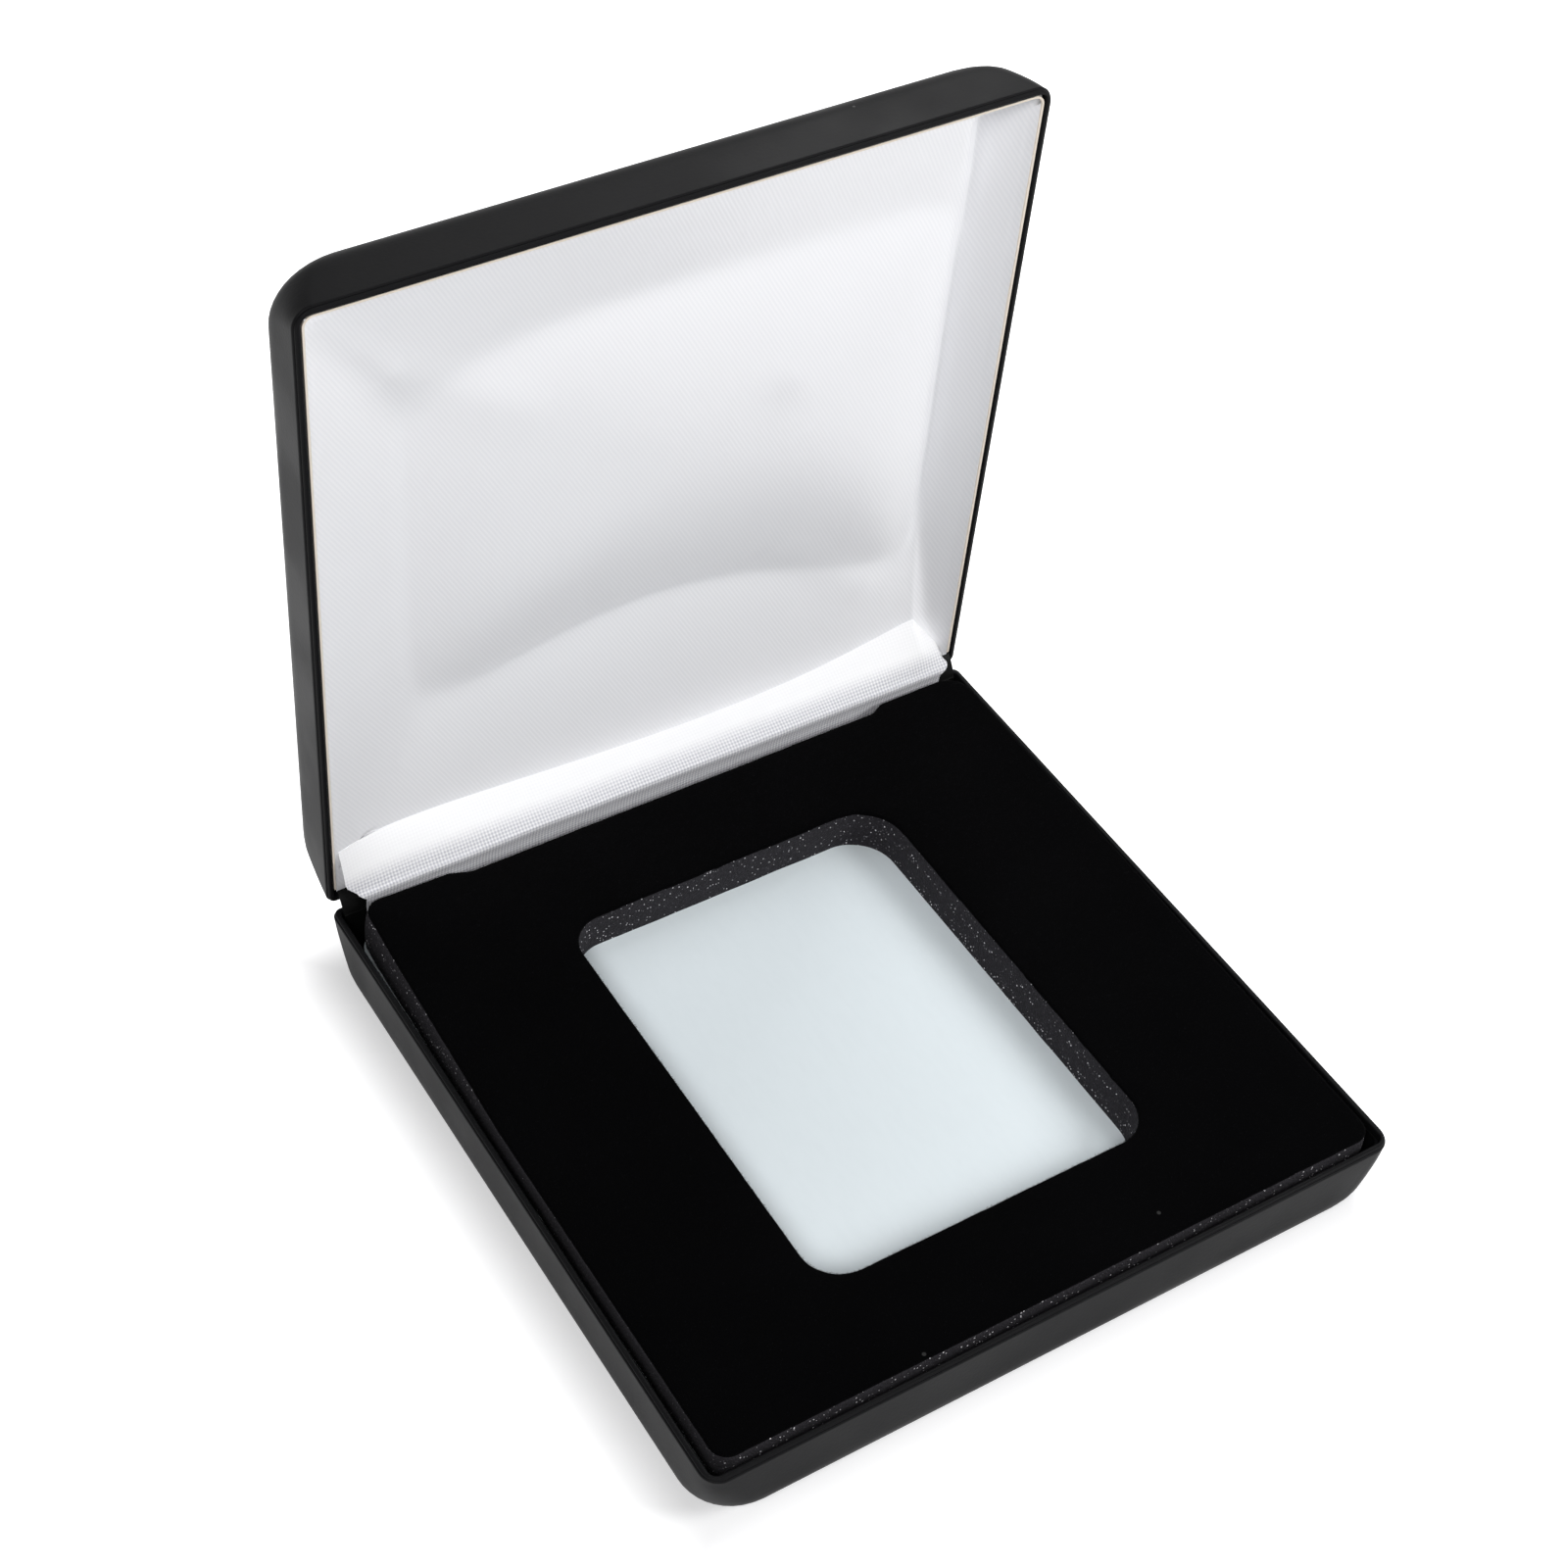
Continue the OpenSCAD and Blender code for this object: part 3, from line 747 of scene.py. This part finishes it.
def mix_colour(tree, fac, a, b):
    n = node(tree, "ShaderNodeMix", data_type="RGBA")
    for label, value in (("Factor", fac), ("A", a), ("B", b)):
        kind = "VALUE" if label == "Factor" else "RGBA"
        s = next(s for s in n.inputs if s.name == label and s.type == kind)
        if isinstance(value, (int, float)):
            s.default_value = value
        elif isinstance(value, tuple):
            s.default_value = (*value, 1.0)
        else:
            tree.links.new(value, s)
    return next(s for s in n.outputs if s.type == "RGBA")


def mottle_group():
    """Slow and fine unevenness of a surface, as two values near 0.5."""
    g, i, o = new_group("mottle", [("Vector", "NodeSocketVector", None),
                                   ("Broad scale", "NodeSocketFloat", 60.0),
                                   ("Fine scale", "NodeSocketFloat", 2500.0)],
                        [("Broad", "NodeSocketFloat"), ("Fine", "NodeSocketFloat")])
    for label, scale in (("Broad", "Broad scale"), ("Fine", "Fine scale")):
        n = node(g, "ShaderNodeTexNoise")
        n.inputs["Detail"].default_value = 3.0
        g.links.new(i.outputs["Vector"], n.inputs["Vector"])
        g.links.new(i.outputs[scale], n.inputs["Scale"])
        g.links.new(n.outputs["Fac"], o.inputs[label])
    return g


def specks_group():
    """Sparse round specks: lint, dust, or the painted glints of foam cells."""
    g, i, o = new_group("specks", [("Vector", "NodeSocketVector", None),
                                   ("Scale", "NodeSocketFloat", 900.0),
                                   ("Share", "NodeSocketFloat", 0.03),
                                   ("Size", "NodeSocketFloat", 0.3)],
                        [("Mask", "NodeSocketFloat"), ("Chance", "NodeSocketFloat")])
    n = node(g, "ShaderNodeTexVoronoi", feature="F1", distance="EUCLIDEAN")
    g.links.new(i.outputs["Vector"], n.inputs["Vector"])
    g.links.new(i.outputs["Scale"], n.inputs["Scale"])
    sep = node(g, "ShaderNodeSeparateColor")
    g.links.new(n.outputs["Color"], sep.inputs[0])
    chosen = math_node(g, "LESS_THAN", sep.outputs[0], i.outputs["Share"])
    near = math_node(g, "LESS_THAN", n.outputs["Distance"], i.outputs["Size"])
    g.links.new(math_node(g, "MULTIPLY", chosen, near), o.inputs["Mask"])
    g.links.new(sep.outputs[1], o.inputs["Chance"])
    return g


def twill_group():
    """Fine slanting threads of a woven cloth, as a height from 0 to 1."""
    g, i, o = new_group("twill", [("Vector", "NodeSocketVector", None),
                                  ("Threads", "NodeSocketFloat", 1.4),
                                  ("Slant", "NodeSocketFloat", 0.7),
                                  ("Waver", "NodeSocketFloat", 0.15)],
                        [("Height", "NodeSocketFloat")])
    sep = node(g, "ShaderNodeSeparateXYZ")
    g.links.new(i.outputs["Vector"], sep.inputs[0])
    drift = noise_node(g, i.outputs["Vector"], 40.0)
    slanted = math_node(g, "MULTIPLY", sep.outputs[1], i.outputs["Slant"])
    across = math_node(g, "ADD", sep.outputs[0], slanted)
    turns = math_node(g, "MULTIPLY", i.outputs["Threads"], 2 * math.pi * 100)
    across = math_node(g, "MULTIPLY", across, turns)
    sway = math_node(g, "MULTIPLY", drift, math_node(g, "MULTIPLY", i.outputs["Waver"], 20.0))
    wave = math_node(g, "SINE", math_node(g, "ADD", across, sway))
    height = math_node(g, "ADD", math_node(g, "MULTIPLY", wave, 0.5), 0.5)
    g.links.new(height, o.inputs["Height"])
    return g


MOTTLE, SPECKS, TWILL = mottle_group(), specks_group(), twill_group()


def material(name):
    m = bpy.data.materials.new(name)
    m.use_nodes = True
    t = m.node_tree
    return m, t, t.nodes["Principled BSDF"]


def place_group(tree, group, vector, **values):
    n = node(tree, "ShaderNodeGroup", node_tree=group)
    tree.links.new(vector, n.inputs["Vector"])
    for key, value in values.items():
        n.inputs[key.replace("_", " ")].default_value = value
    return n


def own_space(tree):
    """Coordinates that stay with the piece."""
    return node(tree, "ShaderNodeTexCoord").outputs["Object"]


def bump(tree, height, strength, distance):
    n = node(tree, "ShaderNodeBump")
    n.inputs["Strength"].default_value = strength
    n.inputs["Distance"].default_value = distance
    tree.links.new(height, n.inputs["Height"])
    return n.outputs["Normal"]


def scaled(colour, by):
    return tuple(min(1.0, c * by) for c in colour)


def lacquer(name, colour, rough, peel, gloss):
    """Black lacquer over steel: soft gloss, faint peel, a few dust motes."""
    m, t, p = material(name)
    here = own_space(t)
    mot = place_group(t, MOTTLE, here, Broad_scale=55.0, Fine_scale=1800.0)
    motes = place_group(t, SPECKS, here, Scale=420.0, Share=0.02, Size=0.10)
    base = mix_colour(t, mot.outputs["Broad"], scaled(colour, 0.8), scaled(colour, 1.25))
    dusty = math_node(t, "MULTIPLY", motes.outputs["Mask"], 0.25)
    t.links.new(mix_colour(t, dusty, base, (0.35, 0.35, 0.35)), p.inputs["Base Color"])
    t.links.new(ramp(t, mot.outputs["Broad"], 0.3, 0.7, rough - 0.04, rough + 0.05),
                p.inputs["Roughness"])
    t.links.new(bump(t, mot.outputs["Fine"], peel, 0.00008), p.inputs["Normal"])
    p.inputs["Specular IOR Level"].default_value = gloss
    return m


def steel(name, colour, rough):
    """Plain drawn steel, a little uneven."""
    m, t, p = material(name)
    here = own_space(t)
    mot = place_group(t, MOTTLE, here, Broad_scale=90.0, Fine_scale=3000.0)
    t.links.new(mix_colour(t, mot.outputs["Broad"], scaled(colour, 0.85), scaled(colour, 1.1)),
                p.inputs["Base Color"])
    p.inputs["Metallic"].default_value = 1.0
    t.links.new(ramp(t, mot.outputs["Fine"], 0.3, 0.7, rough - 0.06, rough + 0.08),
                p.inputs["Roughness"])
    return m


def foam_material():
    """Cut foam: dark open cells, with painted glints: bright and dim specks in the base colour where
    the cells would catch the light.
    """
    m, t, p = material("cut_foam")
    here = own_space(t)
    cells = node(t, "ShaderNodeTexVoronoi", feature="F1")
    cells.inputs["Scale"].default_value = 2600.0
    t.links.new(here, cells.inputs["Vector"])
    mot = place_group(t, MOTTLE, here, Broad_scale=260.0, Fine_scale=1500.0)
    # painted glints: bright and dim specks lighten the base colour where cell walls would catch the
    # light; the bright ones are also less rough
    glint = place_group(t, SPECKS, here, Scale=1700.0, Share=0.30, Size=0.24)
    dim_glint = place_group(t, SPECKS, here, Scale=2600.0, Share=0.22, Size=0.36)
    shade = mix_colour(t, mot.outputs["Fine"], (0.006, 0.0055, 0.007), (0.024, 0.022, 0.027))
    dim = math_node(t, "MULTIPLY", dim_glint.outputs["Mask"],
                    ramp(t, dim_glint.outputs["Chance"], 0.3, 1.0, 0.0, 0.16))
    shade = mix_colour(t, dim, shade, (0.75, 0.72, 0.78))
    bright_glint = math_node(t, "MULTIPLY", glint.outputs["Mask"],
                       ramp(t, glint.outputs["Chance"], 0.2, 1.0, 0.15, 1.0))
    t.links.new(mix_colour(t, bright_glint, shade, (0.9, 0.88, 0.92)), p.inputs["Base Color"])
    t.links.new(ramp(t, glint.outputs["Mask"], 0.0, 1.0, 0.9, 0.3), p.inputs["Roughness"])
    p.inputs["Specular IOR Level"].default_value = 0.25
    t.links.new(bump(t, cells.outputs["Distance"], 0.8, 0.0003), p.inputs["Normal"])
    return m


def velvet_material(name, lighter=1.0):
    """Black pile: almost no light back, a faint rim of sheen, and a little lint."""
    m, t, p = material(name)
    here = own_space(t)
    mot = place_group(t, MOTTLE, here, Broad_scale=45.0, Fine_scale=2800.0)
    lint = place_group(t, SPECKS, here, Scale=230.0, Share=0.02, Size=0.08)
    pile = mix_colour(t, mot.outputs["Broad"], scaled((0.0010, 0.0010, 0.0012), lighter),
                      scaled((0.0022, 0.0022, 0.0025), lighter))
    linty = math_node(t, "MULTIPLY", lint.outputs["Mask"], 0.12)
    t.links.new(mix_colour(t, linty, pile, (0.25, 0.25, 0.25)), p.inputs["Base Color"])
    p.inputs["Roughness"].default_value = 1.0
    p.inputs["Specular IOR Level"].default_value = 0.0
    p.inputs["Sheen Weight"].default_value = 0.02
    p.inputs["Sheen Roughness"].default_value = 0.5
    t.links.new(bump(t, mot.outputs["Fine"], 0.5, 0.0002), p.inputs["Normal"])
    return m


def card_material(name, light, dark):
    """Card with fine fibres and a few specks."""
    m, t, p = material(name)
    here = own_space(t)
    mot = place_group(t, MOTTLE, here, Broad_scale=25.0, Fine_scale=1400.0)
    stretch = node(t, "ShaderNodeMapping")
    stretch.inputs["Scale"].default_value = (1.0, 0.25, 1.0)
    t.links.new(here, stretch.inputs["Vector"])
    fibres = noise_node(t, stretch.outputs["Vector"], 900.0, 4.0, 0.6)
    specks = place_group(t, SPECKS, here, Scale=300.0, Share=0.02, Size=0.07)
    tone = mix_colour(t, mot.outputs["Broad"], light, scaled(light, 0.97))
    tone = mix_colour(t, ramp(t, fibres, 0.35, 0.75, 0.0, 0.10), tone, dark)
    spotted = math_node(t, "MULTIPLY", specks.outputs["Mask"], 0.5)
    t.links.new(mix_colour(t, spotted, tone, (0.25, 0.24, 0.23)), p.inputs["Base Color"])
    p.inputs["Roughness"].default_value = 0.8
    p.inputs["Specular IOR Level"].default_value = 0.3
    t.links.new(bump(t, fibres, 0.12, 0.0001), p.inputs["Normal"])
    return m


def satin_material():
    """White satin: slanting twill, soft sheen along the threads."""
    m, t, p = material("white_satin")
    uv = node(t, "ShaderNodeUVMap", uv_map="cloth").outputs["UV"]
    twill = place_group(t, TWILL, uv, Threads=1.35, Slant=-0.55, Waver=0.05)
    mot = place_group(t, MOTTLE, own_space(t), Broad_scale=40.0, Fine_scale=900.0)
    tone = mix_colour(t, twill.outputs["Height"], (0.835, 0.84, 0.865), (0.885, 0.885, 0.905))
    shade = ramp(t, mot.outputs["Broad"], 0.3, 0.7, 0.0, 0.06)
    t.links.new(mix_colour(t, shade, tone, (0.70, 0.70, 0.74)), p.inputs["Base Color"])
    t.links.new(ramp(t, twill.outputs["Height"], 0.0, 1.0, 0.42, 0.34), p.inputs["Roughness"])
    p.inputs["Specular IOR Level"].default_value = 0.5
    p.inputs["Sheen Weight"].default_value = 0.15
    p.inputs["Sheen Roughness"].default_value = 0.4
    t.links.new(bump(t, twill.outputs["Height"], 0.12, 0.0001), p.inputs["Normal"])
    return m


def ribbon_material():
    """White ribbed ribbon: upright ribs crossed by finer rows, darkened with painted shade at the
    flap's foot.
    """
    m, t, p = material("ribbed_ribbon")
    uv = node(t, "ShaderNodeUVMap", uv_map="cloth").outputs["UV"]
    ribs = place_group(t, TWILL, uv, Threads=1.6, Slant=0.0, Waver=0.02)
    turn = node(t, "ShaderNodeMapping")
    turn.inputs["Rotation"].default_value = (0, 0, math.pi / 2)
    t.links.new(uv, turn.inputs["Vector"])
    rows = place_group(t, TWILL, turn.outputs["Vector"], Threads=1.6, Slant=0.0, Waver=0.02)
    height = math_node(t, "ADD", math_node(t, "MULTIPLY", ribs.outputs["Height"], 0.55),
                       math_node(t, "MULTIPLY", rows.outputs["Height"], 0.45))
    along = node(t, "ShaderNodeSeparateXYZ")
    t.links.new(uv, along.inputs[0])
    # the ribs and their painted shade fade from 8.5 to 12.5 mm along the strip
    height = math_node(t, "MULTIPLY", height, ramp(t, along.outputs["Y"], 0.085, 0.125, 1.0, 0.12))
    # the rib pattern is the ribbon's weave; how dark the ribs go is painted shade, so the flap's foot
    # by the velvet is darker on average
    t.links.new(mix_colour(t, height, (0.95, 0.95, 0.96), (0.46, 0.46, 0.52)), p.inputs["Base Color"])
    p.inputs["Roughness"].default_value = 0.5
    p.inputs["Sheen Weight"].default_value = 0.1
    t.links.new(bump(t, height, 0.7, 0.00015), p.inputs["Normal"])
    return m


def dress(obj, mat):
    obj.data.materials.clear()
    obj.data.materials.append(mat)


# Build and dress
shell_black = lacquer("black_lacquer", (0.0035, 0.0035, 0.004), 0.42, 0.25, 0.06)
rim_black = lacquer("rim_lacquer", (0.004, 0.004, 0.0045), 0.46, 0.12, 0.06)
spring_black = lacquer("spring_black", (0.003, 0.003, 0.003), 0.4, 0.08, 0.06)
pin_steel = steel("drawn_steel", (0.45, 0.45, 0.46), 0.35)
foam_black = foam_material()
velvet_black = velvet_material("black_velvet")
pile_black = velvet_material("velvet_fibres", 2.0)
card_white = card_material("liner_card", (0.80, 0.87, 0.90), (0.68, 0.75, 0.78))
card_cream = card_material("card_edge", (0.80, 0.72, 0.62), (0.65, 0.55, 0.45))
board_grey = card_material("pad_board", (0.70, 0.66, 0.60), (0.55, 0.50, 0.45))
satin_white = satin_material()
ribbon_white = ribbon_material()

base_tray = tray("base_tray", BASE_H, on_base, "base_shell")
lid_tray = tray("lid_tray", LID_H, on_lid, "lid_shell")
base_lip = rim("base_lip", BASE_H, on_base, "base_rim_frame")
lid_lip = rim("lid_lip", LID_H, on_lid, "lid_rim_frame")
foam = foam_block()
velvet = velvet_sheet()
pile = velvet_pile()
under_foam = lower_foam()
pad = satin_pad()
spring = strip_over_hinge("hinge_spring", spring_path, 0.35, np.linspace(-64.2, 64.2, 40),
                          "snap_spring")
flap = strip_over_hinge("satin_flap", flap_path, 0.3, np.linspace(-60.0, 60.3, 160),
                        "hinge_flap", spread=FLAP_SPREAD)

for obj, mat, body, slot_name in (
        (base_tray, shell_black, "base", "shell"), (lid_tray, shell_black, "lid", "shell"),
        (base_lip, rim_black, "base", "frame"), (lid_lip, rim_black, "lid", "frame"),
        (foam, foam_black, "base", "foam"), (velvet, velvet_black, "base", "velvet"),
        (pile, pile_black, "base", "velvet"), (under_foam, foam_black, "base", "foam"),
        (pad, satin_white, "lid", "satin")):
    dress(obj, mat)
    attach(obj, body)
for obj, mat, slot_name in ((spring, spring_black, "spring"), (flap, ribbon_white, "ribbon")):
    dress(obj, mat)
    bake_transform(obj)

# nodes whose solid is right as it is get a material only
for name, mat in (("liner_card", card_white), ("base_hinge_leaf", rim_black),
                  ("lid_hinge_leaf", rim_black), ("hinge_pin", pin_steel),
                  ("base_rivets", pin_steel), ("lid_rivets", pin_steel),
                  ("lining_card", card_cream), ("pad_board", board_grey)):
    dress(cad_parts[name], mat)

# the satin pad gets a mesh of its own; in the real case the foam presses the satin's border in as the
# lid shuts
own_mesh(pad)

# Floor, light and camera
floor_mesh = bpy.data.meshes.new("floor")
floor_mesh.from_pydata([(-6, -6, 0), (6, -6, 0), (6, 6, 0), (-6, 6, 0)], [], [(0, 1, 2, 3)])
floor = bpy.data.objects.new("floor", floor_mesh)
bpy.context.scene.collection.objects.link(floor)


def white_paper():
    """Paper under the case: it keeps the shadow close by and is clear white farther out."""
    m, t, p = material("white_paper")
    p.inputs["Base Color"].default_value = (0.86, 0.86, 0.87, 1)
    p.inputs["Roughness"].default_value = 0.9
    p.inputs["Specular IOR Level"].default_value = 0.1
    glow = node(t, "ShaderNodeEmission")
    glow.inputs["Color"].default_value = (1, 1, 1, 1)
    seen = node(t, "ShaderNodeLightPath")
    spot = node(t, "ShaderNodeNewGeometry")
    ways = node(t, "ShaderNodeSeparateXYZ")
    t.links.new(spot.outputs["Position"], ways.inputs[0])
    reach = math_node(t, "MAXIMUM", math_node(t, "ABSOLUTE", ways.outputs["X"]),
                      math_node(t, "ABSOLUTE", ways.outputs["Y"]))
    away = ramp(t, reach, 0.064, 0.082, 0.30, 1.0)
    t.links.new(math_node(t, "MULTIPLY", straight_view(t, seen), away), glow.inputs["Strength"])
    both = node(t, "ShaderNodeAddShader")
    t.links.new(p.outputs[0], both.inputs[0])
    t.links.new(glow.outputs[0], both.inputs[1])
    t.links.new(both.outputs[0], t.nodes["Material Output"].inputs[0])
    return m


def straight_view(tree, seen):
    """1 for what the camera sees, straight or in a reflection, and 0 for the light on surfaces."""
    first = math_node(tree, "MAXIMUM", seen.outputs["Is Camera Ray"], seen.outputs["Is Glossy Ray"])
    return math_node(tree, "MAXIMUM", first, seen.outputs["Is Transmission Ray"])


dress(floor, white_paper())

world = bpy.data.worlds.new("studio")
bpy.context.scene.world = world
world.use_nodes = True
wt = world.node_tree
back, clear = wt.nodes["Background"], wt.nodes.new("ShaderNodeBackground")
for sky, strength in ((back, 0.05), (clear, 1.0)):
    sky.inputs["Color"].default_value = (1, 1, 1, 1)
    sky.inputs["Strength"].default_value = strength
seen = wt.nodes.new("ShaderNodeLightPath")
mix = wt.nodes.new("ShaderNodeMixShader")
wt.links.new(straight_view(wt, seen), mix.inputs[0])
wt.links.new(back.outputs[0], mix.inputs[1])
wt.links.new(clear.outputs[0], mix.inputs[2])
wt.links.new(mix.outputs[0], wt.nodes["World Output"].inputs[0])


MIDDLE = Vector((0.0, 0.03, 0.05))
LAMP_AWAY = 1.0
LAMP_SIZE = 0.35


def lamp(name, azimuth, elevation, watts):
    """Square lamp on a dome over the case; azimuth 0 is +X and 90 is behind the lid."""
    data = bpy.data.lights.new(name, "AREA")
    data.shape = "SQUARE"
    data.size = LAMP_SIZE
    data.energy = watts
    obj = bpy.data.objects.new(name, data)
    bpy.context.scene.collection.objects.link(obj)
    a, e = math.radians(azimuth), math.radians(elevation)
    way = Vector((math.cos(a) * math.cos(e), math.sin(a) * math.cos(e), math.sin(e)))
    obj.location = MIDDLE + way * LAMP_AWAY
    obj.rotation_euler = (-way).to_track_quat("-Z", "Y").to_euler()


lamp("high_front_lamp", -90, 75, 0.4)
lamp("left_front_lamp", -135, 45, 4.6)
lamp("right_front_lamp", -45, 30, 5.6)
lamp("back_right_lamp", 45, 47, 3.0)

# the camera stands where the photograph was taken from
AZ, EL, ROLL = math.radians(-33.97), math.radians(45.26), math.radians(3.81)
CAMERA_AWAY = 0.5315
target = Vector((0.0196, 0.0546, 0.0156))
back_way = Vector((math.sin(AZ) * math.cos(EL), -math.cos(AZ) * math.cos(EL), math.sin(EL)))
right = Vector((math.cos(AZ), math.sin(AZ), 0))
up = back_way.cross(right)
right_r = right * math.cos(ROLL) + up * math.sin(ROLL)
up_r = -right * math.sin(ROLL) + up * math.cos(ROLL)
cam_data = bpy.data.cameras.new("camera")
cam_data.lens = 36.0 * 2940 / 1600
cam_data.sensor_width = 36.0
cam_data.clip_start = 0.01
camera = bpy.data.objects.new("camera", cam_data)
bpy.context.scene.collection.objects.link(camera)
turn = Matrix((right_r, up_r, back_way)).transposed().to_4x4()
camera.matrix_world = Matrix.Translation(target + back_way * CAMERA_AWAY) @ turn
bpy.context.scene.camera = camera

bpy.context.scene.view_settings.view_transform = "Standard"

bpy.context.view_layer.update()
